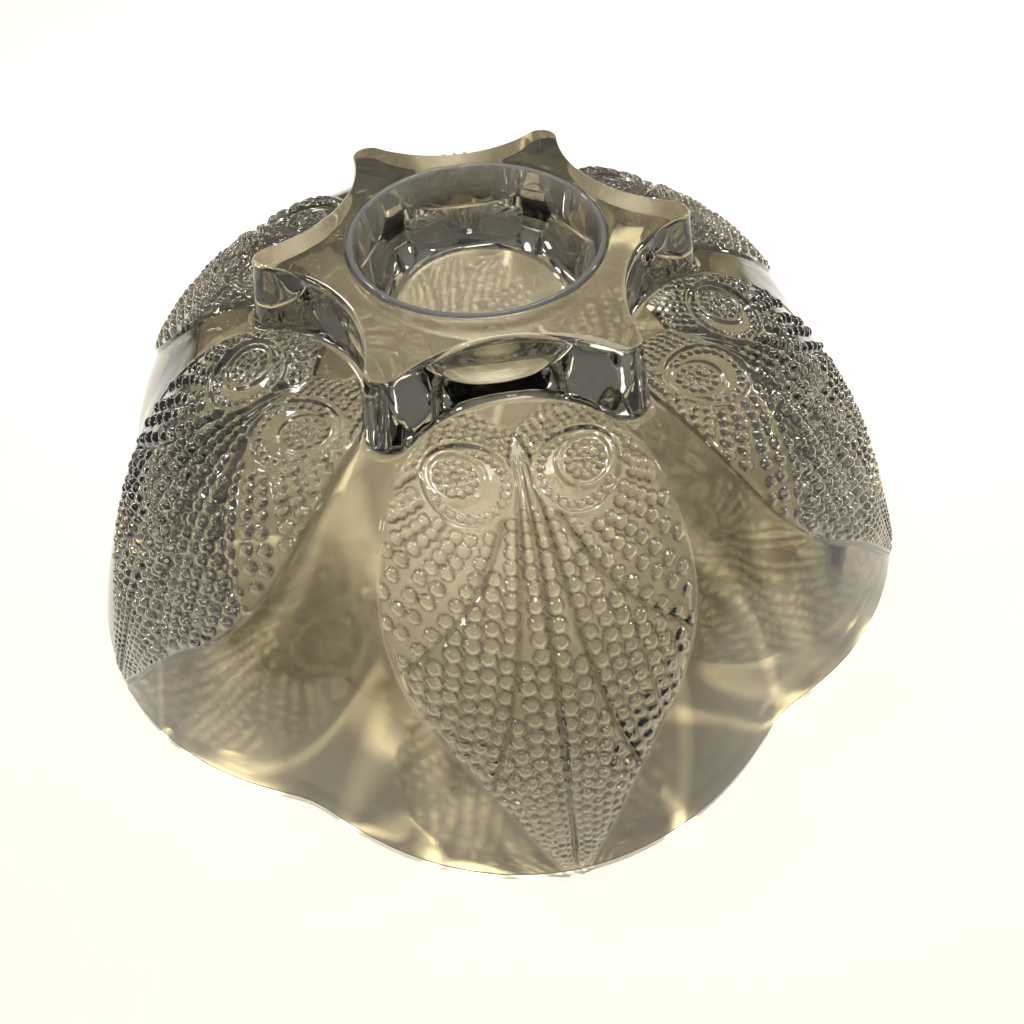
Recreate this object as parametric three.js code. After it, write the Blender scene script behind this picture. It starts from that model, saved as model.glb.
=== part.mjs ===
// Pressed glass chip and dip server, in two pieces of glass.
//
// server_body: a six-scalloped dome that stands on its rim. A solid six-pointed star
//   stands on the crown of the dome, with a round well in its top.
// dip_bowl: a small round bowl that drops into the well and lifts straight out.
//
// Millimetres, +Z up. The origin is on the axis, at the height of the surface that the
// rim stands on. A scallop's peak points along -Y, and a star point lies between peaks.
import * as THREE from 'three';

// Dome
const SCALLOPS = 6;
const PEAK_RADIUS = 160; // rim at the middle of a scallop
const NOTCH_RADIUS = 147; // where two scallops would cross, before the notch is rounded
const NOTCH_ROUND = 0.1; // share of half a scallop over which the notch is rounded
const SCALLOP_POWER = 1.9; // how the rim falls back from peak to notch
const DOME_HEIGHT = 75; // crown of the dome, where the star stands
const DOME_POWER = 1.85; // flat at the crown, steep at the rim
const WALL = 5.5; // thickness of the glass at the crown
const RIM_WALL = 7; // thickness of the glass at the rim
const LIP_ROUND = 1.5; // radius of the rim's outer edge
const CEILING = 63.5; // height of the flat glass under the star
const CEILING_REACH = 0.27; // how far it reaches, as a share of the way from star to rim

// Star
const STAR_HEIGHT = 18.6;
const STAR_TOP = { tip: 64.2, middle: 46, round: 5 }; // outline at the top face
const STAR_BASE = { tip: 69.8, middle: 47.2, round: 6.5 }; // outline where it meets the dome
const STAR_EDGE = 1.8; // radius of the edge of the top face
const STAR_FILLET = 2.5; // radius at the foot of the star's wall
const STAR_DRAFT = 0.3; // how far the wall is inside the base outline, where the fillet starts

// Dip bowl, and the well that it sits in
const BOWL_RADIUS = 37.5;
const BOWL_PROUD = 0.7; // rim above the star's top face
const BOWL_DEPTH = 22; // inside
const BOWL_FLOOR_RADIUS = 25; // flat part of the inside
const BOWL_FOOT_RADIUS = 24; // flat part of the outside
const BOWL_LIP_WALL = 1.9; // thickness of the wall at its lip
const BOWL_LIP_ROUND = 0.9;
const BOWL_WALL = 3.4; // thickness of the wall where its inside starts to curve
const BOWL_INSIDE_CURVE = 0.5; // height of that place, as a share of the depth
const BOWL_OUTSIDE_CURVE = 0.25; // depth at which the outside starts to curve, as a share
const BOWL_FLOOR = 3.5; // thickness of the bowl's floor
const WELL_GAP = 0.35; // clearance between bowl and well
const WELL_CHAMFER = 0.5;

// Fineness
const STEPS_PER_SECTOR = 16; // around, from one star point to the next
const DOME_STEPS = 9;
const INNER_STEPS = 8;
const ARC_STEPS = 4;
const BOWL_SEGMENTS = 60;
const DOME_PACKING = 0.85; // under 1, the dome's rings are closer together at the rim
const POINT_PACKING = 1.6; // over 1, sections are closer together at the star's points
const HALVINGS = 30; // in the search for the rim's foot

const SECTOR = (2 * Math.PI) / SCALLOPS;
const STAR_TOP_Z = DOME_HEIGHT + STAR_HEIGHT;
const BOWL_TOP_Z = STAR_TOP_Z + BOWL_PROUD;
const BOWL_INSIDE_Z = BOWL_TOP_Z - BOWL_DEPTH;
const BOWL_BOTTOM_Z = BOWL_INSIDE_Z - BOWL_FLOOR;
const BOWL_UPRIGHT_Z = STAR_TOP_Z - BOWL_DEPTH * BOWL_OUTSIDE_CURVE;

// Points (radius, height) of a quarter turn from one end to the other, without the first.
// bulge is the corner of the box that the quarter turn rounds off.
function quarter(from, bulge, to, steps = ARC_STEPS) {
  const points = [];
  for (let i = 1; i <= steps; i += 1) {
    const angle = (Math.PI / 2) * (i / steps);
    const a = 1 - Math.sin(angle);
    const b = 1 - Math.cos(angle);
    points.push([
      from[0] * a + to[0] * b + bulge[0] * (1 - a - b),
      from[1] * a + to[1] * b + bulge[1] * (1 - a - b),
    ]);
  }
  return points;
}

// Angle from the nearest star point, as a fraction of the way to the scallop's peak.
function awayFromPoint(azimuth) {
  const turns = azimuth / SECTOR;
  return 2 * Math.abs(turns - Math.round(turns));
}

function rimRadius(azimuth) {
  const toNotch = Math.max(0, 1 - Math.hypot(awayFromPoint(azimuth), NOTCH_ROUND));
  return PEAK_RADIUS - (PEAK_RADIUS - NOTCH_RADIUS) * toNotch ** SCALLOP_POWER;
}

// Radius of a star outline: a concave arc in each side, tangent to a round tip.
function starRadius({ tip, middle, round }, azimuth) {
  const half = SECTOR / 2;
  const fromTip = awayFromPoint(azimuth) * half;
  const tipCentre = tip - round;
  const reach = middle - round;
  const arcCentre = (tipCentre ** 2 - reach ** 2) / (2 * (tipCentre * Math.cos(half) - reach));
  const arcRadius = arcCentre - middle;
  // Where the arc and the tip touch, as an angle about the axis.
  const share = round / (round + arcRadius);
  const touchAcross = share * arcCentre * Math.sin(half);
  const touchAlong = tipCentre + share * (arcCentre * Math.cos(half) - tipCentre);
  if (fromTip < Math.atan2(touchAcross, touchAlong)) {
    const across = tipCentre * Math.sin(fromTip);
    return tipCentre * Math.cos(fromTip) + Math.sqrt(round ** 2 - across ** 2);
  }
  const fromMiddle = half - fromTip;
  const across = arcCentre * Math.sin(fromMiddle);
  return arcCentre * Math.cos(fromMiddle) - Math.sqrt(arcRadius ** 2 - across ** 2);
}

function domeHeight(radius, rim) {
  const share = Math.max(0, (radius - STAR_BASE.tip) / (rim - STAR_BASE.tip));
  return DOME_HEIGHT - (DOME_HEIGHT - LIP_ROUND) * share ** DOME_POWER;
}

// The point one wall thickness under the dome.
function underDome(radius, rim) {
  const step = 0.01;
  const slope = (domeHeight(radius, rim) - domeHeight(radius - step, rim)) / step;
  const length = Math.hypot(1, slope);
  const share = (radius - STAR_BASE.tip) / (rim - STAR_BASE.tip);
  const wall = THREE.MathUtils.lerp(WALL, RIM_WALL, share ** 2);
  return [radius + (wall * slope) / length, domeHeight(radius, rim) - wall / length];
}

// Radius on the dome whose point underneath is at the height that the rim stands on.
function standingRadius(rim) {
  let inside = STAR_BASE.tip;
  let outside = rim;
  for (let i = 0; i < HALVINGS; i += 1) {
    const middle = (inside + outside) / 2;
    if (underDome(middle, rim)[1] > 0) inside = middle;
    else outside = middle;
  }
  return inside;
}

// Half of the body's section, from the axis at the well's floor round to the axis again.
function bodySection(azimuth) {
  const rim = rimRadius(azimuth);
  const top = starRadius(STAR_TOP, azimuth);
  const base = starRadius(STAR_BASE, azimuth);
  const wellRadius = BOWL_RADIUS + WELL_GAP;
  const wellFloor = BOWL_BOTTOM_Z - WELL_GAP;
  const floorEdge = [BOWL_FOOT_RADIUS, wellFloor];
  const wallFoot = [wellRadius, BOWL_UPRIGHT_Z];
  const points = [[0, wellFloor], floorEdge];
  points.push(...quarter(floorEdge, [wellRadius, wellFloor], wallFoot, ARC_STEPS + 1));
  points.push([wellRadius, STAR_TOP_Z - WELL_CHAMFER], [wellRadius + WELL_CHAMFER, STAR_TOP_Z]);

  const edge = [top - STAR_EDGE, STAR_TOP_Z];
  const shoulder = [top, STAR_TOP_Z - STAR_EDGE];
  points.push(edge, ...quarter(edge, [top, STAR_TOP_Z], shoulder, 3));
  const foot = base + STAR_FILLET;
  const ankle = [base - STAR_DRAFT, DOME_HEIGHT + STAR_FILLET];
  const toe = [foot, domeHeight(foot, rim)];
  points.push(ankle, ...quarter(ankle, [base, domeHeight(base, rim)], toe, 3));

  for (let i = 1; i <= DOME_STEPS; i += 1) {
    const radius = THREE.MathUtils.lerp(foot, rim, (i / DOME_STEPS) ** DOME_PACKING);
    points.push([radius, domeHeight(radius, rim)]);
  }
  const standing = rim - LIP_ROUND;
  points.push(...quarter([rim, LIP_ROUND], [rim, 0], [standing, 0], 2));

  const ceilingEdge = STAR_BASE.tip + CEILING_REACH * (rim - STAR_BASE.tip);
  const start = standingRadius(rim);
  for (let i = 0; i <= INNER_STEPS; i += 1) {
    const radius = THREE.MathUtils.lerp(start, ceilingEdge, i / INNER_STEPS);
    const [inner, height] = underDome(radius, rim);
    points.push([inner, Math.min(height, CEILING)]);
  }
  points.push([0, CEILING]);
  return points;
}

// One closed skin from a section at each azimuth. Every section has the same number of
// points, and its first and last lie on the axis.
function sweepAround(section, azimuths) {
  const rings = azimuths.map(section);
  const perRing = rings[0].length - 2;
  const positions = [];
  rings.forEach((points, k) => {
    const along = Math.cos(azimuths[k]);
    const across = Math.sin(azimuths[k]);
    points.slice(1, -1).forEach(([r, z]) => positions.push(r * along, r * across, z));
  });
  const first = positions.length / 3;
  positions.push(0, 0, rings[0][0][1], 0, 0, rings[0].at(-1)[1]);
  const faces = [];
  rings.forEach((_, k) => {
    const here = k * perRing;
    const next = ((k + 1) % rings.length) * perRing;
    faces.push(first, here, next);
    for (let i = 0; i < perRing - 1; i += 1) {
      faces.push(here + i, here + i + 1, next + i);
      faces.push(next + i, here + i + 1, next + i + 1);
    }
    faces.push(first + 1, next + perRing - 1, here + perRing - 1);
  });
  const geometry = new THREE.BufferGeometry();
  geometry.setAttribute('position', new THREE.Float32BufferAttribute(positions, 3));
  geometry.setIndex(faces);
  geometry.computeVertexNormals();
  return geometry;
}

// Azimuths packed closer together at the star's points, where the outline turns fastest.
function packedAzimuths() {
  const azimuths = [];
  for (let sector = 0; sector < SCALLOPS; sector += 1) {
    for (let i = 0; i < STEPS_PER_SECTOR; i += 1) {
      const side = (2 * i) / STEPS_PER_SECTOR - 1;
      const offset = Math.sign(side) * Math.abs(side) ** POINT_PACKING * (SECTOR / 2);
      azimuths.push(sector * SECTOR + offset);
    }
  }
  return azimuths;
}

function makeServerBody(material) {
  const body = new THREE.Mesh(sweepAround(bodySection, packedAzimuths()), material);
  body.name = 'server_body';
  return body;
}

function makeDipBowl(material) {
  const outsideFloor = [BOWL_FOOT_RADIUS, BOWL_BOTTOM_Z];
  const outsideWall = [BOWL_RADIUS, BOWL_UPRIGHT_Z];
  const shoulderZ = BOWL_TOP_Z - BOWL_LIP_ROUND;
  const rimOut = [BOWL_RADIUS, shoulderZ];
  const rimIn = [BOWL_RADIUS - BOWL_LIP_WALL, shoulderZ];
  const crestOut = [BOWL_RADIUS - BOWL_LIP_ROUND, BOWL_TOP_Z];
  const crestIn = [rimIn[0] + BOWL_LIP_ROUND, BOWL_TOP_Z];
  const curveZ = BOWL_INSIDE_Z + BOWL_DEPTH * BOWL_INSIDE_CURVE;
  const insideWall = [BOWL_RADIUS - BOWL_WALL, curveZ];
  const lean = (rimIn[0] - insideWall[0]) / (shoulderZ - curveZ);
  const insideCorner = [insideWall[0] - lean * (curveZ - BOWL_INSIDE_Z), BOWL_INSIDE_Z];
  const insideFloor = [BOWL_FLOOR_RADIUS, BOWL_INSIDE_Z];
  const section = [[0, BOWL_BOTTOM_Z], outsideFloor];
  section.push(...quarter(outsideFloor, [BOWL_RADIUS, BOWL_BOTTOM_Z], outsideWall, ARC_STEPS + 1));
  section.push(rimOut, ...quarter(rimOut, [BOWL_RADIUS, BOWL_TOP_Z], crestOut, 2));
  section.push(crestIn, ...quarter(crestIn, [rimIn[0], BOWL_TOP_Z], rimIn, 2));
  section.push(insideWall, ...quarter(insideWall, insideCorner, insideFloor, ARC_STEPS + 1));
  section.push([0, BOWL_INSIDE_Z]);
  const outline = section.map(([r, z]) => new THREE.Vector2(r, z));
  const bowl = new THREE.Mesh(new THREE.LatheGeometry(outline, BOWL_SEGMENTS), material);
  bowl.rotateX(Math.PI / 2);
  bowl.name = 'dip_bowl';
  return bowl;
}

function clearGlass() {
  return new THREE.MeshStandardMaterial({
    color: 0xd9d8cc,
    roughness: 0.05,
    metalness: 0,
    transparent: true,
    opacity: 0.35,
  });
}

const server = new THREE.Group();
server.add(makeServerBody(clearGlass()), makeDipBowl(clearGlass()));

// The section functions measure from a star point, and a peak points along -Y.
server.rotation.z = -Math.PI / 2 - SECTOR / 2;

export default server;
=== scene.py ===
"""Pressed glass chip and dip server: looks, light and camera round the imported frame.

The glass of the body is one closed skin, swept round the axis: the well, the solid
six-pointed star, the scalloped dome with a leaf in relief on each scallop, the rim, and
the underside with its shallow waves. The dip bowl is a second, smooth piece that rides on
its own body. Lengths in the mesh code are millimetres, and become metres where a mesh is
made.
"""
import math

import bpy
import numpy as np
from mathutils import Matrix, Vector


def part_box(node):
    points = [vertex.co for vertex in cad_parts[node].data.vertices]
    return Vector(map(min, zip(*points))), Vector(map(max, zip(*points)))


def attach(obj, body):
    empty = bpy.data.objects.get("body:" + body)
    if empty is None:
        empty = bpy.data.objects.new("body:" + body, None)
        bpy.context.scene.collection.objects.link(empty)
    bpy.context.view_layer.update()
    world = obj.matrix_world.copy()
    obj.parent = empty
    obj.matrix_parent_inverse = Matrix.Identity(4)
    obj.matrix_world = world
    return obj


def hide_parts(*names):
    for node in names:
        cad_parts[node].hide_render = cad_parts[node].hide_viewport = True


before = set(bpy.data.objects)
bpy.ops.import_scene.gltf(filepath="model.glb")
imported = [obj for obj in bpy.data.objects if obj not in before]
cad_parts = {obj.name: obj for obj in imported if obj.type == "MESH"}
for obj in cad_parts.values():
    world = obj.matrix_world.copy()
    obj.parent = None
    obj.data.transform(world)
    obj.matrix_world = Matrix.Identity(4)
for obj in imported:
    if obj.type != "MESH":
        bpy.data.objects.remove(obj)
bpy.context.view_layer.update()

MM = 0.001

# The server's driving dimensions, as in the CAD model.
SCALLOPS = 6
SECTOR = 2 * math.pi / SCALLOPS
PEAK_RADIUS = 160.0
NOTCH_RADIUS = 147.0
NOTCH_ROUND = 0.1
SCALLOP_POWER = 1.9
DOME_HEIGHT = 75.0
DOME_POWER = 1.85
WALL = 5.5
RIM_WALL = 7.0
LIP_ROUND = 1.5
CEILING = 63.5
STAR_TOP_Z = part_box("server_body")[1][2] / MM
# The star's outline at its top and at its foot: radius of the tips, radius midway between
# them, and the tips' own round.
STAR_TOP = {"tip": 64.2, "middle": 46.0, "round": 5.0}
STAR_BASE = {"tip": 69.8, "middle": 47.2, "round": 6.5}
STAR_EDGE = 1.8
STAR_FILLET = 2.5
STAR_DRAFT = 0.3
CEILING_REACH = 0.27  # share of the way to the rim where the dome's underside ends
CEILING_RADIUS = 78.0  # the ceiling's rings are shares of it
WAVE_HEIGHT = 0.4
WAVE_LENGTH = 30.0
BOWL_LOW, BOWL_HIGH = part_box("dip_bowl")
BOWL_RADIUS = BOWL_HIGH[0] / MM
BOWL_TOP_Z = BOWL_HIGH[2] / MM
BOWL_BOTTOM_Z = BOWL_LOW[2] / MM
BOWL_DEPTH = 22.0
BOWL_FLOOR_RADIUS = 25.0
BOWL_FOOT_RADIUS = 24.0
BOWL_LIP_WALL = 1.9
BOWL_LIP_ROUND = 0.9
BOWL_WALL = 3.4
BOWL_INSIDE_CURVE = 0.5
BOWL_UPRIGHT_Z = STAR_TOP_Z - 0.25 * BOWL_DEPTH
BOWL_INSIDE_Z = BOWL_TOP_Z - BOWL_DEPTH
WELL_GAP = 0.35
WELL_CHAMFER = 0.5

# Fineness of the body's skin: rows run round the axis, columns run out from it.
LEAF_COLUMNS = 168
PLAIN_COLUMNS = 16
ROWS_PER_BEAD = 8.0
UNDER_ROWS = 44
LIP_ROWS = 5
BOWL_COLUMNS = 192
DOME_FROM = 49.5  # radius on a leaf's midline where the dome's rows start
LEAF_MARGIN = math.radians(1.2)  # fine columns past the leaf's edge
LEAST_SPREAD = math.radians(2.5)  # half angle of the fine columns at the leaf's tip
MOST_SPREAD = math.radians(25.5)  # and near the star
LOBES_SPREAD_TO = 66.0  # radius up to which the fine columns keep their widest spread

# Where the glass looks different: painted light and shade in its colour, the light it gathers,
# the bowl's cloudy lip and the streaks' place.
SIDE_SHADE = 0.6  # how much of the crown's painted light, a paler tint, the star's side has
CEILING_SHADE = (34.0, 50.0)  # radii between which the crown's painted light, a paler tint, fades out
LEAF_SHADE = (55.0, 110.0)  # radii between which a leaf's painted light, a paler tint, and its coat come in
LEAST_LEAF_SHADE = 0.35  # of it that a leaf has next to the star
LEAF_FOCUS = (0.65, 1.6)  # light lost between a leaf's beads, and won at a bead's middle
LIP_SHADE = 5.0  # depth of the bowl's lip that looks cloudy
RIM_FOCUS = 2.6  # how much the round of the rim gathers light
STREAK_TURN = 0.12  # the streaks' place is a circle of this radius round the axis, and
STREAK_DOWN = 0.4  # this share of the radius down it, so that a streak is long and thin


# ---------------------------------------------------------------- outlines

def smooth_step(low, high, value):
    share = np.clip((value - low) / (high - low), 0.0, 1.0)
    return share * share * (3 - 2 * share)


def rim_radius(angle):
    """Radius of the rim, for an angle from a scallop's peak."""
    from_notch = 1 - np.abs(angle) / (SECTOR / 2)
    share = np.maximum(0.0, 1 - np.hypot(from_notch, NOTCH_ROUND))
    return PEAK_RADIUS - (PEAK_RADIUS - NOTCH_RADIUS) * share ** SCALLOP_POWER


def star_radius(shape, angle):
    """Radius of a star outline: concave arcs, tangent to round tips."""
    half = SECTOR / 2
    from_tip = half - np.abs(angle)
    tip_centre = shape["tip"] - shape["round"]
    reach = shape["middle"] - shape["round"]
    arc_centre = (tip_centre ** 2 - reach ** 2) / (2 * (tip_centre * math.cos(half) - reach))
    arc_radius = arc_centre - shape["middle"]
    share = shape["round"] / (shape["round"] + arc_radius)
    across = share * arc_centre * math.sin(half)
    along = tip_centre + share * (arc_centre * math.cos(half) - tip_centre)
    on_tip = from_tip < math.atan2(across, along)
    tip_side = tip_centre * np.sin(np.where(on_tip, from_tip, 0.0))
    tip = tip_centre * np.cos(from_tip) + np.sqrt(shape["round"] ** 2 - tip_side ** 2)
    arc_side = arc_centre * np.sin(np.where(on_tip, 0.0, np.abs(angle)))
    arc = arc_centre * np.cos(angle) - np.sqrt(arc_radius ** 2 - arc_side ** 2)
    return np.where(on_tip, tip, arc)


def dome_height(radius, rim):
    share = np.maximum(0.0, (radius - STAR_BASE["tip"]) / (rim - STAR_BASE["tip"]))
    return DOME_HEIGHT - (DOME_HEIGHT - LIP_ROUND) * share ** DOME_POWER


def dome_slope(radius, rim):
    reach = rim - STAR_BASE["tip"]
    share = np.maximum(0.0, (radius - STAR_BASE["tip"]) / reach)
    return -(DOME_HEIGHT - LIP_ROUND) * DOME_POWER * share ** (DOME_POWER - 1) / reach


# ---------------------------------------------------------------- leaf relief

# Half of a leaf's outline as (distance from its midline, radius), from the notch at the
# star's foot, over one lobe, past the widest place and down to the tip at the rim.
LEAF_OUTLINE = [
    (0.0, 59.4), (5.5, 55.0), (9.0, 51.6), (13.5, 50.4), (18.5, 52.2), (23.0, 57.4),
    (27.3, 66.5), (32.0, 76.0), (36.3, 88.0), (39.4, 100.0), (40.2, 110.0), (38.2, 118.5),
    (33.0, 127.5), (25.8, 135.0), (18.5, 142.8), (11.2, 151.5), (5.5, 157.5), (2.5, 161.0),
]
LOBES_TO = 81.0
LEAF_LIFT = 0.25
BORDER_HEIGHT = 0.62
BORDER_WIDTH = 0.75
VEIN_START = 60.0  # radius where the veins leave the notch
VEIN_REACH = 50.0
VEINS = ((5.6, 1.7), (12.0, 14.0))  # spread of each side vein: near the notch, far out
PLEAT_HEIGHT = 0.9
CREASE_DEPTH = 0.9
CREASE_WIDTH = 0.75
CREASE_SHADE = 0.7  # how dark the painted shade in a vein is, where a bead's edge is 1
EYE = {"across": 13.8, "along": 75.5, "radius": 11.6}
PUPIL = {"across": 16.6, "along": 73.8, "radius": 7.2}
INNER_RING = 3.3
EYE_RINGS = ((0.75, 0.75), (0.6, 0.65), (0.4, 0.5))  # height and width: eye, pupil, inner
EYE_BEADS = ((9.4, 2.3), (4.6, 2.2), (2.3, 2.0), (0.0, 2.2))  # ring's radius, bead's width
FIRST_ROW, LAST_ROW = 51.5, 160.5  # radii of the first and last rows of beads
ROW_STEP = 0.94  # from one row to the next, in bead widths
FIRST_SEED = 11
BEAD_SLOPE = math.radians(66)  # of a bead's side where it meets the leaf
BEAD_REACH = 1.5  # how far round a bead its edge is measured, in radii
FLAT_FROM, FLAT_TO = 138.0, 148.0  # radii between which beads turn flatter
FLATTENING = 0.45
# Width of the beads on a leaf's midline, at each of these radii.
GRAIN_RADII = (50, 60, 75, 90, 105, 120, 135, 143, 150, 161)
GRAIN_SIZES = (2.6, 2.4, 2.8, 3.7, 4.5, 4.7, 4.4, 3.3, 2.7, 2.2)


def catmull_rom(points, steps):
    """A smooth curve through points, steps to a span."""
    p = np.array(points, float)
    p = np.vstack([2 * p[0] - p[1], p, 2 * p[-1] - p[-2]])
    t = np.linspace(0, 1, steps, endpoint=False)[:, None]
    spans = []
    for a, b, c, d in zip(p, p[1:], p[2:], p[3:]):
        spans.append(0.5 * (2 * b + (c - a) * t + (2 * a - 5 * b + 4 * c - d) * t ** 2
                            + (3 * b - a - 3 * c + d) * t ** 3))
    return np.vstack(spans + [p[-2][None]])


# Distance over the dome's surface, down a leaf's midline, for each of these radii.
RADII = np.linspace(40.0, 170.0, 600)
ALONG = np.concatenate([[0.0], np.cumsum(np.diff(RADII) * np.hypot(
    1, dome_slope((RADII[1:] + RADII[:-1]) / 2, PEAK_RADIUS)))])


def along_leaf(radius):
    """Distance over the dome's surface from radius 40, down a leaf's midline."""
    return np.interp(radius, RADII, ALONG)


def grain_size(radius, side):
    """Width of a bead: side is 0 on the midline and 1 at the leaf's edge."""
    return np.interp(radius, GRAIN_RADII, GRAIN_SIZES) * (1 - 0.28 * np.clip(side, 0, 1) ** 2)


def vein_offset(index, radius):
    """How far a vein is from the midline. Index 0 is the midline itself."""
    if index == 0:
        return np.zeros_like(radius)
    near, far = VEINS[index - 1]
    share = np.maximum(0.0, (radius - VEIN_START) / VEIN_REACH)
    return near * share + far * share ** 4


def half_width(outline, radius):
    """Half of the leaf's width at a radius. Nearer the star it is the lobes' width."""
    side = outline[outline[:, 1] > LOBES_TO]
    return np.interp(radius, side[:, 1], side[:, 0])


def distance_inside(outline, across, along):
    """Signed distance from points to a closed outline, positive inside."""
    shape = across.shape
    x, y = across.ravel(), along.ravel()
    best = np.full(x.shape, 1e9)
    inside = np.zeros(x.shape, bool)
    for (ax, ay), (bx, by) in zip(outline, np.roll(outline, -1, axis=0)):
        dx, dy = bx - ax, by - ay
        length = dx * dx + dy * dy
        if length < 1e-12:
            continue
        t = np.clip(((x - ax) * dx + (y - ay) * dy) / length, 0, 1)
        best = np.minimum(best, (x - ax - t * dx) ** 2 + (y - ay - t * dy) ** 2)
        if ay != by:
            crosses = (ay > y) != (by > y)
            inside ^= crosses & (x < dx * (y - ay) / dy + ax)
    return np.where(inside, np.sqrt(best), -np.sqrt(best)).reshape(shape)


def closed_leaf():
    """The whole outline as (across, along the surface)."""
    half = catmull_rom(LEAF_OUTLINE, 8)
    right = np.column_stack([half[:, 0], along_leaf(half[:, 1])])
    left = right[::-1] * (-1, 1)
    return half, np.vstack([right, left[:-1]])


def band_edges(half, band, radius):
    """A band runs from one vein to the next, or to the leaf's edge."""
    outer = half_width(half, radius)
    low = np.minimum(vein_offset(band, radius), outer)
    if band == len(VEINS):
        return low, outer
    return low, np.minimum(vein_offset(band + 1, radius), outer)


def band_beads(half, band, random):
    """Beads in rows square to a band's inner vein, as (across, along, width)."""
    beads = []
    radius = FIRST_ROW + random.uniform(0, 2)
    while radius < LAST_ROW:
        low, high = band_edges(half, band, radius)
        outer = float(half_width(half, radius))
        size = float(grain_size(radius, (low + high) / 2 / outer))
        step = ROW_STEP * size / math.hypot(1, float(dome_slope(radius, PEAK_RADIUS)))
        lean = float(vein_offset(band, radius + step) - low) / (ROW_STEP * size)
        lean = min(lean, 0.8) if low < outer else 0.0
        for i in range(int(1.7 * (high - low) / size) + 1):
            across = low + (i + 0.5 + random.normal(0, 0.04)) * size
            along = along_leaf(radius) - lean * (across - low)
            along += (0.14 * (-1) ** i + random.normal(0, 0.05)) * size
            its_low, its_high = band_edges(half, band, np.interp(along, ALONG, RADII))
            if its_low + 0.3 * size < across < its_high - 0.3 * size:
                beads.append((across, along, size * random.uniform(0.92, 1.06)))
        radius += step
    return beads


def leaf_beads(half, random):
    """Every bead on one leaf: rows between the veins, and rings in the eyes."""
    beads = []
    for sign in (-1, 1):
        for band in range(len(VEINS) + 1):
            for across, along, width in band_beads(half, band, random):
                eye_gap = math.hypot(across - EYE["across"], along - along_leaf(EYE["along"]))
                if eye_gap > EYE["radius"] + 0.45 * width:
                    beads.append((sign * across, along, width))
        for ring, width in EYE_BEADS:
            centre = EYE if ring > PUPIL["radius"] else PUPIL
            count = max(1, int(2 * math.pi * ring / (width * 1.02)))
            turn = random.uniform(0, 1)
            for i in range(count):
                angle = 2 * math.pi * (i + turn) / count
                across = sign * (centre["across"] + ring * math.cos(angle))
                along = along_leaf(centre["along"]) + ring * math.sin(angle)
                pupil_gap = math.hypot(abs(across) - PUPIL["across"],
                                       along - along_leaf(PUPIL["along"]))
                if centre is PUPIL or pupil_gap > PUPIL["radius"] + 0.8:
                    beads.append((across, along, width * random.uniform(0.88, 1.1)))
    return beads


def bead_domes(across, along, beads):
    """Height of the beads' round caps, and a number that is 1 at a bead's middle, 0 at its
    edge and below 0 past it."""
    domes = np.zeros_like(across)
    top = np.full_like(across, 1 - BEAD_REACH ** 2)
    row_low, row_high = along.min(axis=1), along.max(axis=1)
    sphere = 1 / math.sin(BEAD_SLOPE) ** 2
    sunk = 1 / math.tan(BEAD_SLOPE)
    for bead_across, bead_along, width in beads:
        reach = width / 2
        first = np.searchsorted(row_high, bead_along - BEAD_REACH * reach)
        last = np.searchsorted(row_low, bead_along + BEAD_REACH * reach)
        rows = slice(first, last)
        near = (across[rows] - bead_across) ** 2 + (along[rows] - bead_along) ** 2
        near = near / reach ** 2
        cap = reach * (np.sqrt(np.maximum(sphere - near, sunk ** 2)) - sunk)
        domes[rows] = np.maximum(domes[rows], cap)
        top[rows] = np.maximum(top[rows], 1 - near)
    return domes, top


def ridge(distance, width):
    return np.exp(-(distance / width) ** 2)


def pleats_and_creases(side, radius, half):
    """Each band between two veins bulges a little, and a vein is a crease between them.
    Both are from 0 to 1."""
    outer = half_width(half, radius)
    lines = [vein_offset(index, radius) for index in range(len(VEINS) + 1)]
    pleat = np.zeros_like(radius)
    crease = np.zeros_like(radius)
    for low, high in zip(lines, lines[1:] + [outer]):
        low = np.minimum(low, outer)
        high = np.minimum(high, outer)
        room = np.maximum(high - low, 1e-3)
        share = np.clip((side - low) / room, 0, 1)
        bulge = np.sin(math.pi * share) ** 0.8 * np.minimum(1, room / 6)
        pleat = np.maximum(pleat, np.where((side >= low) & (side < high), bulge, 0))
    for line in lines:
        started = smooth_step(VEIN_START - 1, VEIN_START + 9, radius)
        within = np.where(line < outer - 1.5, 1.0, 0.0)
        crease = np.maximum(crease, ridge(side - line, CREASE_WIDTH) * started * within)
    return pleat, crease


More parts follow.
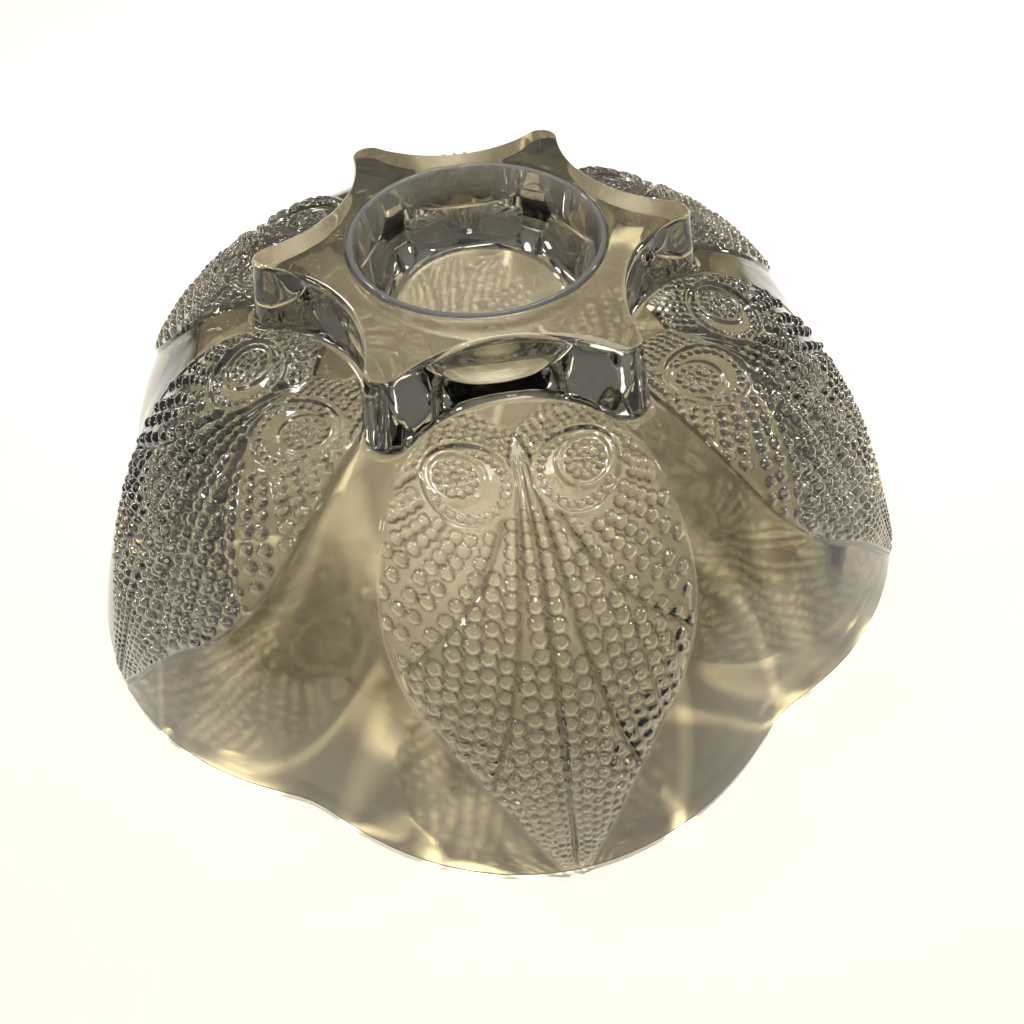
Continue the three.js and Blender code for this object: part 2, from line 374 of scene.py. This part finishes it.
def leaf_relief(across, radius, seed):
    """Height of one leaf's relief over the dome in millimetres, how near the edge of a bead
    or a vein each point is from 0 to 1, which sets the painted shade there, how much of
    it is leaf from 0 to 1, and how much the bead gathers the light that falls through it."""
    random = np.random.default_rng(seed)
    half, outline = closed_leaf()
    along = along_leaf(radius)
    inside = distance_inside(outline, across, along)
    height = LEAF_LIFT * smooth_step(-0.3, 1.2, inside)
    height += BORDER_HEIGHT * ridge(inside - BORDER_WIDTH, BORDER_WIDTH)

    side = np.abs(across)
    eye_gap = np.hypot(side - EYE["across"], along - along_leaf(EYE["along"]))
    in_eye = smooth_step(EYE["radius"] + 0.6, EYE["radius"] - 0.6, eye_gap)
    pleat, crease = pleats_and_creases(side, radius, half)
    flat = smooth_step(0.5, 3.0, inside) * (1 - in_eye)
    height += flat * (PLEAT_HEIGHT * pleat - CREASE_DEPTH * crease)

    # Beads: round caps side by side, flatter towards the tip.
    domes, top = bead_domes(across, along, leaf_beads(half, random))
    domes *= 1 - FLATTENING * smooth_step(FLAT_FROM, FLAT_TO, radius)
    height += domes * smooth_step(0.6, 2.0, inside) * (1 - 0.7 * crease)

    # The eyes: a ring, and two smaller ones inside it that sit further out.
    pupil_gap = np.hypot(side - PUPIL["across"], along - along_leaf(PUPIL["along"]))
    gaps = (eye_gap - EYE["radius"], pupil_gap - PUPIL["radius"], pupil_gap - INNER_RING)
    rings = np.zeros_like(radius)
    for gap, (ring_height, ring_width) in zip(gaps, EYE_RINGS):
        rings = np.maximum(rings, ring_height * ridge(gap, ring_width))
    height += rings * smooth_step(0.2, 1.5, inside)
    # Painted shade: a dark line round each bead's edge and down each vein, weaker on the eye's
    # rings.
    edge = ridge(np.sqrt(1 - top) - 1, 0.16) * (1 - np.clip(rings, 0, 1))
    edge = np.maximum(edge, CREASE_SHADE * crease * (1 - in_eye))
    leaf = smooth_step(0.4, 1.6, inside)
    focus = 1 + leaf * (LEAF_FOCUS[1] * smooth_step(0.1, 0.85, top) - LEAF_FOCUS[0])
    return height, edge * leaf, leaf, focus


# ---------------------------------------------------------------- meshes

def quarter(start, corner, end, steps):
    """Quarter turn from start to end, rounding off corner, without its first point."""
    rows = []
    for i in range(1, steps + 1):
        angle = math.pi / 2 * i / steps
        a, b = 1 - math.sin(angle), 1 - math.cos(angle)
        c = 1 - a - b
        rows.append((start[0] * a + end[0] * b + corner[0] * c,
                     start[1] * a + end[1] * b + corner[1] * c))
    return rows


def skin(name, part, radii, heights, angles, poles):
    """A closed mesh from rows of rings, with a pole on the axis at each end. It stays in its
    part's box, because a fine round is a few hundredths wider than the CAD's facets."""
    rows, columns = radii.shape
    points = np.empty((rows * columns + 2, 3))
    points[:-2, 0] = (radii * np.cos(angles)).ravel()
    points[:-2, 1] = (radii * np.sin(angles)).ravel()
    points[:-2, 2] = heights.ravel()
    points[-2] = (0, 0, poles[0])
    points[-1] = (0, 0, poles[1])
    low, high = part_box(part)
    points = np.clip(points * MM, low, high)
    index = np.arange(rows * columns).reshape(rows, columns)
    beside = np.roll(index, -1, axis=1)
    quads = np.stack([index[:-1], index[1:], beside[1:], beside[:-1]], axis=-1).reshape(-1, 4)
    first = rows * columns
    caps = [(first, a, b) for a, b in zip(index[0], beside[0])]
    caps += [(first + 1, b, a) for a, b in zip(index[-1], beside[-1])]
    mesh = bpy.data.meshes.new(name)
    loops = np.concatenate([quads.ravel(), np.array(caps).ravel()])
    sizes = np.concatenate([np.full(len(quads), 4), np.full(len(caps), 3)])
    mesh.vertices.add(len(points))
    mesh.vertices.foreach_set("co", points.ravel())
    mesh.loops.add(len(loops))
    mesh.loops.foreach_set("vertex_index", loops)
    mesh.polygons.add(len(sizes))
    mesh.polygons.foreach_set("loop_start", np.concatenate([[0], np.cumsum(sizes)[:-1]]))
    mesh.polygons.foreach_set("loop_total", sizes)
    mesh.polygons.foreach_set("use_smooth", np.ones(len(sizes), bool))
    mesh.update()
    mesh.validate()
    piece = bpy.data.objects.new(name, mesh)
    bpy.context.scene.collection.objects.link(piece)
    return piece


def column_shares():
    """Columns of one sector as (share across the leaf, share across the plain glass)."""
    left = [(-1.0, -1 + i / PLAIN_COLUMNS) for i in range(PLAIN_COLUMNS)]
    middle = [(-1 + 2 * i / LEAF_COLUMNS, 0.0) for i in range(LEAF_COLUMNS)]
    right = [(1.0, i / PLAIN_COLUMNS) for i in range(PLAIN_COLUMNS)]
    return np.array(left + middle + right)


def sector_angles(spread):
    """Angle from the peak for each column: spread is half the leaf's share of the sector."""
    leaf, plain = column_shares().T
    spread = np.asarray(spread)[..., None]
    return leaf * spread + plain * (SECTOR / 2 - spread)


def dome_shares():
    """Shares of the way from the star's foot to the rim, closer where beads are small."""
    radii = np.linspace(DOME_FROM, PEAK_RADIUS, 800)
    density = ROWS_PER_BEAD * np.hypot(1, dome_slope(radii, PEAK_RADIUS)) / grain_size(radii, 0)
    total = np.concatenate([[0], np.cumsum((density[1:] + density[:-1]) / 2 * np.diff(radii))])
    count = int(total[-1])
    radius = np.interp(np.arange(1, count + 1) * total[-1] / count, total, radii)
    return (radius - DOME_FROM) / (PEAK_RADIUS - DOME_FROM)


def under_dome(radius, rim):
    """The point of the underside, square under a point of the dome, as (radius, height)."""
    slope = dome_slope(radius, rim)
    length = np.hypot(1, slope)
    share = (radius - STAR_BASE["tip"]) / (rim - STAR_BASE["tip"])
    wall = WALL + (RIM_WALL - WALL) * share ** 2
    return radius + wall * slope / length, dome_height(radius, rim) - wall / length


def plunger_waves(radius, angle):
    """Shallow waves that the mould's plunger leaves in the underside, in millimetres."""
    turn = SCALLOPS * angle
    rings = 2 * math.pi * radius / WAVE_LENGTH
    spokes = 4 * turn + 0.9 * np.sin(turn + rings / 3)
    waves = 0.62 * np.cos(spokes) + 0.38 * np.sin(rings + 1.6 * np.cos(turn))
    return WAVE_HEIGHT * waves


def standing_radius(rim):
    """Radius on the dome whose point underneath is at the height of the rim's foot."""
    inside = np.full_like(rim, STAR_BASE["tip"])
    outside = rim.copy()
    for _ in range(30):
        middle = (inside + outside) / 2
        above = under_dome(middle, rim)[1] > 0
        inside = np.where(above, middle, inside)
        outside = np.where(above, outside, middle)
    return inside


def well_rows():
    """Rings of the well from its floor to the chamfer at its mouth, as (radius, height)."""
    well = BOWL_RADIUS + WELL_GAP
    floor = BOWL_BOTTOM_Z - WELL_GAP
    floor_edge = (BOWL_FOOT_RADIUS, floor)
    rows = [(floor_edge[0] * share, floor) for share in (0.3, 0.7, 1.0)]
    rows += quarter(floor_edge, (well, floor), (well, BOWL_UPRIGHT_Z), 10)
    rows.append((well, STAR_TOP_Z - WELL_CHAMFER))
    rows.append((well + 0.3 * WELL_CHAMFER, STAR_TOP_Z - 0.24 * WELL_CHAMFER))
    rows.append((well + WELL_CHAMFER, STAR_TOP_Z))
    return rows


def star_top_rows(top):
    """Rings of the star's flat top, out from the well's mouth."""
    mouth = BOWL_RADIUS + WELL_GAP + WELL_CHAMFER
    return [(mouth + (top - STAR_EDGE - mouth) * share, STAR_TOP_Z)
            for share in (0.15, 0.4, 0.7, 1.0)]


def star_side_rows(top, base, rim):
    """Rings of the star's rounded edge, its side and the fillet at its foot."""
    shoulder = STAR_TOP_Z - STAR_EDGE
    ankle = DOME_HEIGHT + STAR_FILLET
    rows = quarter((top - STAR_EDGE, STAR_TOP_Z), (top, STAR_TOP_Z), (top, shoulder), 6)
    for i in range(1, 7):
        share = i / 6
        rows.append((top + (base - STAR_DRAFT - top) * share,
                     shoulder + (ankle - shoulder) * share))
    foot = base + STAR_FILLET
    rows += quarter((base - STAR_DRAFT, ankle), (base, dome_height(base, rim)),
                    (foot, dome_height(foot, rim)), 6)
    return rows


def dome_rows():
    """Rings of the dome from the star's foot to the rim, as (radius, height, angle).
    The fine columns follow the leaf's width."""
    rows = []
    leaf_half = catmull_rom(LEAF_OUTLINE, 8)
    for share in dome_shares():
        middle = DOME_FROM + (PEAK_RADIUS - DOME_FROM) * share
        half = half_width(leaf_half, middle)
        spread = min(math.asin(half / middle) + LEAF_MARGIN, MOST_SPREAD)
        spread = max(spread, LEAST_SPREAD) if middle > LOBES_SPREAD_TO else MOST_SPREAD
        at = sector_angles(spread)
        here_rim = rim_radius(at)
        here_foot = star_radius(STAR_BASE, at) + STAR_FILLET
        radius = here_foot + (here_rim - here_foot) * share
        rows.append((radius, dome_height(radius, here_rim), at))
    return rows


def underside_rows(at, angle):
    """Rings of the underside, from the rim's foot in to the crown's flat ceiling. The
    columns go from the rim's angles back to even ones."""
    rows = []
    for i in range(UNDER_ROWS + 1):
        share = i / UNDER_ROWS
        blend = min(1.0, share * 3)
        here = at * (1 - blend) + angle * blend
        rim = rim_radius(here)
        begin = standing_radius(rim)
        end = STAR_BASE["tip"] + CEILING_REACH * (rim - STAR_BASE["tip"])
        on_dome = begin + (end - begin) * share
        radius, height = under_dome(on_dome, rim)
        slope = dome_slope(on_dome, rim)
        wave = plunger_waves(on_dome, here) * smooth_step(0.0, 0.12, share)
        wave = wave * smooth_step(1.0, 0.85, share) / np.hypot(1, slope)
        rows.append((radius - wave * slope, np.minimum(height + wave, CEILING), here))
    for share in (0.75, 0.5, 0.25):
        rows.append((CEILING_RADIUS * share, CEILING, angle))
    return rows


def body_rows():
    """Rings of one sector as arrays of radius, height and angle, with the slices of rings
    that are the well, the star's side, the dome, and the rim's round."""
    angle = sector_angles(MOST_SPREAD)
    flat = np.ones_like(angle)
    top, base = star_radius(STAR_TOP, angle), star_radius(STAR_BASE, angle)
    rows = [(radius, height, angle) for radius, height in well_rows()]
    well_to = len(rows) - 2  # without the chamfer
    rows += [(radius, height, angle) for radius, height in star_top_rows(top)]
    side_from = len(rows)
    side = star_side_rows(top, base, rim_radius(angle))
    rows += [(radius, height, angle) for radius, height in side]
    dome_from = len(rows)
    rows += dome_rows()
    dome_to = len(rows)
    at = rows[-1][2]
    rim = rim_radius(at)
    lip = quarter((rim, LIP_ROUND), (rim, 0.0), (rim - LIP_ROUND, 0.0), LIP_ROWS)
    rows += [(radius, height, at) for radius, height in lip]
    lip_to = len(rows)
    rows += underside_rows(at, angle)
    spans = {"well": slice(0, well_to), "side": slice(side_from, dome_from),
             "dome": slice(dome_from, dome_to), "lip": slice(dome_to, lip_to),
             "under": slice(dome_to, len(rows))}
    radii, heights, angles = (np.array([row[i] * flat for row in rows]) for i in range(3))
    return radii, heights, angles, spans


def leaf_sector(sector, radii, heights, angles, spans):
    """One sector of the body with its leaf's relief, and the attributes of its points."""
    span = spans["dome"]
    rim = rim_radius(angles[span])
    slope = dome_slope(radii[span], rim)
    length = np.hypot(1, slope)
    fade = smooth_step(0.0, 1.2, radii[span] - radii[span.start - 1])
    fade = fade * smooth_step(0.2, 2.2, rim - radii[span])
    across = radii[span] * np.sin(angles[span])
    relief, edge, leaf, focus = leaf_relief(across, radii[span], FIRST_SEED + sector)
    relief *= fade
    made = {"radius": radii.copy(), "height": heights.copy()}
    made["angle"] = angles + sector * SECTOR - math.pi / 2
    made["radius"][span] -= relief * slope / length
    made["height"][span] += relief / length
    # Painted light: the crown's paler tint, full on the well, part on the star's side, fading
    # out over the ceiling.
    made["crown"] = np.zeros_like(radii)
    made["crown"][spans["well"]] = 1.0
    made["crown"][spans["side"]] = SIDE_SHADE
    under = spans["under"]
    made["crown"][under] = smooth_step(CEILING_SHADE[1], CEILING_SHADE[0], radii[under])
    made["focus"] = np.ones_like(radii)
    made["focus"][span] = focus
    made["focus"][spans["lip"]] = RIM_FOCUS
    # A leaf's painted light, a paler tint, and its coat are weaker next to the star.
    away = smooth_step(*LEAF_SHADE, radii[span])
    away = LEAST_LEAF_SHADE + (1 - LEAST_LEAF_SHADE) * away
    for name, values in (("dome", 1 - leaf), ("bead_edge", edge * fade),
                         ("leaf", leaf * fade * away)):
        made[name] = np.zeros_like(radii)
        made[name][span] = values
    return made


def add_numbers(piece, name, values):
    share = piece.data.attributes.new(name, "FLOAT", "POINT")
    share.data.foreach_set("value", values)


def make_server_glass():
    """The whole body in one skin, with a different throw of beads on each leaf."""
    rows = body_rows()
    sectors = [leaf_sector(sector, *rows) for sector in range(SCALLOPS)]
    whole = {name: np.hstack([made[name] for made in sectors]) for name in sectors[0]}
    piece = skin("server_glass", "server_body", whole["radius"], whole["height"],
                 whole["angle"], (BOWL_BOTTOM_Z - WELL_GAP, CEILING))
    at_poles = {"bead_edge": 0.0, "leaf": 0.0, "crown": 1.0, "focus": 1.0, "dome": 0.0}
    for name, value in at_poles.items():
        add_numbers(piece, name, np.append(whole[name].ravel(), (value, value)))
    sweep = np.zeros((len(piece.data.vertices), 3))
    sweep[:-2, 0] = STREAK_TURN * np.cos(whole["angle"]).ravel()
    sweep[:-2, 1] = STREAK_TURN * np.sin(whole["angle"]).ravel()
    sweep[:-2, 2] = STREAK_DOWN * MM * whole["radius"].ravel()
    place = piece.data.attributes.new("sweep", "FLOAT_VECTOR", "POINT")
    place.data.foreach_set("vector", sweep.ravel())
    return piece


def make_bowl_glass():
    """The dip bowl, turned from a section with a rounded lip and a leaning inside wall."""
    out_floor = (BOWL_FOOT_RADIUS, BOWL_BOTTOM_Z)
    out_wall = (BOWL_RADIUS, BOWL_UPRIGHT_Z)
    shoulder = BOWL_TOP_Z - BOWL_LIP_ROUND
    rim_out = (BOWL_RADIUS, shoulder)
    rim_in = (BOWL_RADIUS - BOWL_LIP_WALL, shoulder)
    crest_out = (BOWL_RADIUS - BOWL_LIP_ROUND, BOWL_TOP_Z)
    crest_in = (rim_in[0] + BOWL_LIP_ROUND, BOWL_TOP_Z)
    curve = BOWL_INSIDE_CURVE * BOWL_DEPTH
    in_wall = (BOWL_RADIUS - BOWL_WALL, BOWL_INSIDE_Z + curve)
    lean = (rim_in[0] - in_wall[0]) / (shoulder - in_wall[1])
    in_corner = (in_wall[0] - lean * curve, BOWL_INSIDE_Z)
    in_floor = (BOWL_FLOOR_RADIUS, BOWL_INSIDE_Z)
    section = [(out_floor[0] * share, BOWL_BOTTOM_Z) for share in (0.4, 0.8, 1.0)]
    section += quarter(out_floor, (BOWL_RADIUS, BOWL_BOTTOM_Z), out_wall, 20)
    section += [rim_out] + quarter(rim_out, (BOWL_RADIUS, BOWL_TOP_Z), crest_out, 8)
    section += [crest_in] + quarter(crest_in, (rim_in[0], BOWL_TOP_Z), rim_in, 8)
    section += [in_wall] + quarter(in_wall, in_corner, in_floor, 24)
    section += [(BOWL_FLOOR_RADIUS * share, BOWL_INSIDE_Z) for share in (0.8, 0.4)]
    rings = np.array(section[::-1])
    turns = np.linspace(0, 2 * math.pi, BOWL_COLUMNS, endpoint=False)
    shape = (len(rings), len(turns))
    radii = np.broadcast_to(rings[:, :1], shape)
    heights = np.broadcast_to(rings[:, 1:], shape)
    piece = skin("dip_bowl_glass", "dip_bowl", radii, heights, np.broadcast_to(turns, shape),
                 (BOWL_INSIDE_Z, BOWL_BOTTOM_Z))
    lip = smooth_step(BOWL_TOP_Z - LIP_SHADE, BOWL_TOP_Z - BOWL_LIP_ROUND, heights)
    add_numbers(piece, "lip", np.append(lip.ravel(), (0.0, 0.0)))
    return piece


# ---------------------------------------------------------------- materials

BODY_TINTS = ((0.33, 0.305, 0.236), (0.26, 0.24, 0.18))
# The body's painted light and shade: paler tints painted on the leaves and the crown, as
# painted light, and a dark one at the beads' edges and in the veins, as painted shade.
BODY_PAINTED_LIGHT_AND_SHADE = {"leaf": (0.53, 0.495, 0.40), "bead_edge": (0.05, 0.046, 0.037),
               "crown": (0.60, 0.58, 0.52)}
BOWL_TINTS = ((0.99, 0.98, 0.96), (0.93, 0.92, 0.89))
FLOOR_TINTS = ((0.85, 0.83, 0.78), (0.88, 0.86, 0.81))
LIP_CLARITY = 0.87  # share of the bowl's lip that is clear glass
STREAK_LIGHT = 3.8  # light under a streak, and between the streaks
BETWEEN_STREAKS = 0.55
STREAK_WIDTH = 0.048
STREAK_SCALE = 19.0
STREAK_BEND = 0.06
BEND_SCALE = 14.0
PAINTED_STREAK_POWER = 0.6  # power of the streaks' light that is also painted into the glass's colour, as painted light


def node(tree, kind, **inputs):
    made = tree.nodes.new(kind)
    for name, value in inputs.items():
        made.inputs[name.replace("_", " ")].default_value = value
    return made


def attribute(tree, name, output="Fac"):
    made = tree.nodes.new("ShaderNodeAttribute")
    made.attribute_name = name
    return made.outputs[output]


def object_place(tree):
    return tree.nodes.new("ShaderNodeTexCoord").outputs["Object"]


def noise(tree, place, scale, detail, output="Fac"):
    made = node(tree, "ShaderNodeTexNoise", Scale=scale, Detail=detail)
    tree.links.new(place, made.inputs["Vector"])
    return made.outputs[output]


def mixed(tree, amount, first, second):
    """A colour: first where amount is 0, second where it is 1. first may be a socket."""
    mix = tree.nodes.new("ShaderNodeMix")
    mix.data_type = "RGBA"
    mix.inputs["B"].default_value = (*second, 1)
    if isinstance(first, tuple):
        mix.inputs["A"].default_value = (*first, 1)
    else:
        tree.links.new(first, mix.inputs["A"])
    tree.links.new(amount, mix.inputs["Factor"])
    return mix.outputs["Result"]


def scaled(tree, colour, amount):
    product = tree.nodes.new("ShaderNodeVectorMath")
    product.operation = "SCALE"
    tree.links.new(colour, product.inputs[0])
    tree.links.new(amount, product.inputs["Scale"])
    return product.outputs["Vector"]


def remapped(tree, value, ends, span=(0.0, 1.0), kind="LINEAR"):
    """The two ends of a span of values turned into two others."""
    made = node(tree, "ShaderNodeMapRange",
                From_Min=span[0], From_Max=span[1], To_Min=ends[0], To_Max=ends[1])
    made.interpolation_type = kind
    tree.links.new(value, made.inputs["Value"])
    return made.outputs["Result"]


def gathered_light(tree):
    """How much of the light falling on the outside goes on to what is under the glass: the
    beads gather it into spots, and the plain glass into a net of streaks down the dome.
    Gives both together, and the streaks alone."""
    sweep = attribute(tree, "sweep", "Vector")
    bend = tree.nodes.new("ShaderNodeVectorMath")
    bend.operation = "MULTIPLY_ADD"
    bend.inputs[1].default_value = (STREAK_BEND, STREAK_BEND, STREAK_BEND)
    tree.links.new(noise(tree, sweep, BEND_SCALE, 2.0, "Color"), bend.inputs[0])
    tree.links.new(sweep, bend.inputs[2])
    net = node(tree, "ShaderNodeTexVoronoi", Scale=STREAK_SCALE)
    net.feature = "DISTANCE_TO_EDGE"
    tree.links.new(bend.outputs["Vector"], net.inputs["Vector"])
    streak = remapped(tree, net.outputs["Distance"], (STREAK_LIGHT, BETWEEN_STREAKS),
                      (0.0, STREAK_WIDTH), "SMOOTHSTEP")
    on_dome = node(tree, "ShaderNodeMix", A=1.0)
    tree.links.new(attribute(tree, "dome"), on_dome.inputs["Factor"])
    tree.links.new(streak, on_dome.inputs["B"])
    both = tree.nodes.new("ShaderNodeMath")
    both.operation = "MULTIPLY"
    tree.links.new(on_dome.outputs["Result"], both.inputs[0])
    tree.links.new(attribute(tree, "focus"), both.inputs[1])
    return both.outputs["Value"], on_dome.outputs["Result"]


def new_material(name):
    material = bpy.data.materials.new(name)
    material.use_nodes = True
    return material, material.node_tree


def clear_glass(tree, place, colour, ripple, ripple_scale):
    """Clear glass with a ripple from the mould and fine polish marks."""
    bump = node(tree, "ShaderNodeBump", Strength=ripple, Distance=0.0006)
    tree.links.new(noise(tree, place, ripple_scale, 2.0), bump.inputs["Height"])
    polish = remapped(tree, noise(tree, place, 900.0, 2.0), (0.0, 0.03), (0.4, 0.8))
    shader = node(tree, "ShaderNodeBsdfPrincipled",
                  Transmission_Weight=1.0, IOR=1.52, Coat_Roughness=0.07, Coat_IOR=1.6)
    tree.links.new(colour, shader.inputs["Base Color"])
    tree.links.new(polish, shader.inputs["Roughness"])
    tree.links.new(bump.outputs["Normal"], shader.inputs["Normal"])
    return shader


def finish_glass(tree, shader, colour, gathered=None):
    """A view ray is refracted. Light passes straight through to what is under the glass,
    times gathered, and takes on the square root of the colour at each face."""
    one_face = node(tree, "ShaderNodeGamma", Gamma=0.5)
    tree.links.new(colour, one_face.inputs["Color"])
    passed = one_face.outputs["Color"]
    if gathered:
        passed = scaled(tree, passed, gathered)
    through = tree.nodes.new("ShaderNodeBsdfTransparent")
    tree.links.new(passed, through.inputs["Color"])
    ray = tree.nodes.new("ShaderNodeLightPath")
    mix = tree.nodes.new("ShaderNodeMixShader")
    tree.links.new(ray.outputs["Is Shadow Ray"], mix.inputs["Fac"])
    tree.links.new(shader.outputs["BSDF"], mix.inputs[1])
    tree.links.new(through.outputs["BSDF"], mix.inputs[2])
    out = tree.nodes.new("ShaderNodeOutputMaterial")
    tree.links.new(mix.outputs["Shader"], out.inputs["Surface"])


def body_material():
    """Olive-grey pressed glass, faintly uneven. Its colour holds painted light, paler on the
    leaves, the crown and the streaks, and painted shade at the beads' edges and in the
    veins. The leaves have a glossy coat.
    """
    material, tree = new_material("pressed_glass")
    tree.nodes.clear()
    place = object_place(tree)
    colour = mixed(tree, noise(tree, place, 18.0, 3.0), *BODY_TINTS)
    # Painted light on the leaves and the crown, and painted shade at the beads' edges, each
    # where its attribute is 1.
    for name, shade in BODY_PAINTED_LIGHT_AND_SHADE.items():
        colour = mixed(tree, attribute(tree, name), colour, shade)
    gathered, streak = gathered_light(tree)
    # Painted light: the streaks' light also shows in the glass's own colour, paler on a streak
    # and darker between them.
    clear = tree.nodes.new("ShaderNodeMath")
    clear.operation = "POWER"
    clear.inputs[1].default_value = PAINTED_STREAK_POWER
    tree.links.new(streak, clear.inputs[0])
    colour = scaled(tree, colour, clear.outputs["Value"])
    shader = clear_glass(tree, place, colour, 0.15, 60.0)
    tree.links.new(attribute(tree, "leaf"), shader.inputs["Coat Weight"])
    finish_glass(tree, shader, colour, gathered)
    return material


def bowl_material():
    """Nearly colourless glass, a little cloudy at the lip."""
    material, tree = new_material("bowl_glass")
    tree.nodes.clear()
    place = object_place(tree)
    colour = mixed(tree, noise(tree, place, 18.0, 3.0), *BOWL_TINTS)
    shader = clear_glass(tree, place, colour, 0.08, 40.0)
    clarity = remapped(tree, attribute(tree, "lip"), (1.0, LIP_CLARITY))
    tree.links.new(clarity, shader.inputs["Transmission Weight"])
    finish_glass(tree, shader, colour)
    return material


def floor_material():
    material, tree = new_material("pale_floor")
    shader = tree.nodes["Principled BSDF"]
    shader.inputs["Roughness"].default_value = 0.9
    shader.inputs["Specular IOR Level"].default_value = 0.1
    colour = mixed(tree, noise(tree, object_place(tree), 6.0, 4.0), *FLOOR_TINTS)
    tree.links.new(colour, shader.inputs["Base Color"])
    return material


# ---------------------------------------------------------------- stage

FRAME = 1024.0  # width of the picture. The focal length and the shift have the same unit
FOCAL_LENGTH = 559.0
SHIFT = (-1.0, 13.0)
SENSOR = 36.0
CAMERA_AT = (-0.01432, -0.15542, 0.18813)
CAMERA_HEADING = math.radians(-8.07)
CAMERA_DOWN = math.radians(58.97)
CAMERA_ROLL = math.radians(-1.98)
FLOOR_REACH = 3.0
FLOOR_DROP = 0.0004
LIGHTS = {  # place, size, power, colour
    "key": ((0.15, 0.40, 1.2), 0.016, 15.0, (1.0, 0.97, 0.92)),
    "soft": ((0.25, 0.55, 1.1), 0.5, 2.0, (1.0, 0.97, 0.92)),
    "left": ((-1.1, 0.1, 0.7), 0.14, 1.5, (0.92, 0.97, 1.0)),
    "back_left": ((-0.5, 0.8, 0.9), 0.14, 1.5, (1.0, 0.98, 0.95)),
    "right": ((1.1, 0.3, 0.5), 0.14, 1.5, (1.0, 0.98, 0.95)),
    "front": ((0.05, -0.8, 0.9), 0.10, 0.3, (0.96, 0.98, 1.0)),
}
WALL_LIGHT = (0.15, 0.15, 0.16, 1)
CEILING_LIGHT = (0.62, 0.62, 0.60, 1)
BOUNCES = 16


def make_camera():
    data = bpy.data.cameras.new("camera")
    data.sensor_width = SENSOR
    data.lens = SENSOR * FOCAL_LENGTH / FRAME
    data.shift_x = SHIFT[0] / FRAME
    data.shift_y = SHIFT[1] / FRAME
    data.clip_start = 0.01
    camera = bpy.data.objects.new("camera", data)
    bpy.context.scene.collection.objects.link(camera)
    turn = Matrix.Rotation(CAMERA_HEADING, 4, "Z")
    tilt = Matrix.Rotation(math.pi / 2 - CAMERA_DOWN, 4, "X")
    roll = Matrix.Rotation(CAMERA_ROLL, 4, "Z")
    camera.matrix_world = Matrix.Translation(CAMERA_AT) @ turn @ tilt @ roll
    bpy.context.scene.camera = camera


def area_light(name, at, size, power, colour):
    """A round light that faces the middle of the object's foot."""
    data = bpy.data.lights.new(name, "AREA")
    data.shape = "DISK"
    data.size = size
    data.energy = power
    data.color = colour
    light = bpy.data.objects.new(name, data)
    light.location = at
    light.rotation_euler = (-Vector(at)).to_track_quat("-Z", "Y").to_euler()
    bpy.context.scene.collection.objects.link(light)


def make_floor():
    mesh = bpy.data.meshes.new("floor")
    corners = [(-1, -1), (1, -1), (1, 1), (-1, 1)]
    places = [(x * FLOOR_REACH, y * FLOOR_REACH, -FLOOR_DROP) for x, y in corners]
    mesh.from_pydata(places, [], [(0, 1, 2, 3)])
    floor = bpy.data.objects.new("floor", mesh)
    floor.data.materials.append(floor_material())
    bpy.context.scene.collection.objects.link(floor)


def make_sky():
    """A studio's pale ceiling over darker walls."""
    world = bpy.data.worlds.new("studio")
    world.use_nodes = True
    tree = world.node_tree
    place = tree.nodes.new("ShaderNodeTexCoord")
    height = tree.nodes.new("ShaderNodeSeparateXYZ")
    ramp = tree.nodes.new("ShaderNodeValToRGB")
    low, high = ramp.color_ramp.elements
    low.position, low.color = 0.0, WALL_LIGHT
    high.position, high.color = 0.75, CEILING_LIGHT
    tree.links.new(place.outputs["Generated"], height.inputs["Vector"])
    tree.links.new(height.outputs["Z"], ramp.inputs["Fac"])
    tree.links.new(ramp.outputs["Color"], tree.nodes["Background"].inputs["Color"])
    tree.nodes["Background"].inputs["Strength"].default_value = 0.45
    bpy.context.scene.world = world


make_camera()
make_floor()
for light_name, settings in LIGHTS.items():
    area_light(light_name, *settings)
make_sky()
bpy.context.scene.view_settings.view_transform = "Standard"
bpy.context.scene.cycles.max_bounces = BOUNCES
bpy.context.scene.cycles.transmission_bounces = BOUNCES

server_glass = make_server_glass()
server_glass.data.materials.append(body_material())
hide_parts("server_body")
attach(server_glass, "server")

bowl_glass = make_bowl_glass()
bowl_glass.data.materials.append(bowl_material())
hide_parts("dip_bowl")
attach(bowl_glass, "bowl")
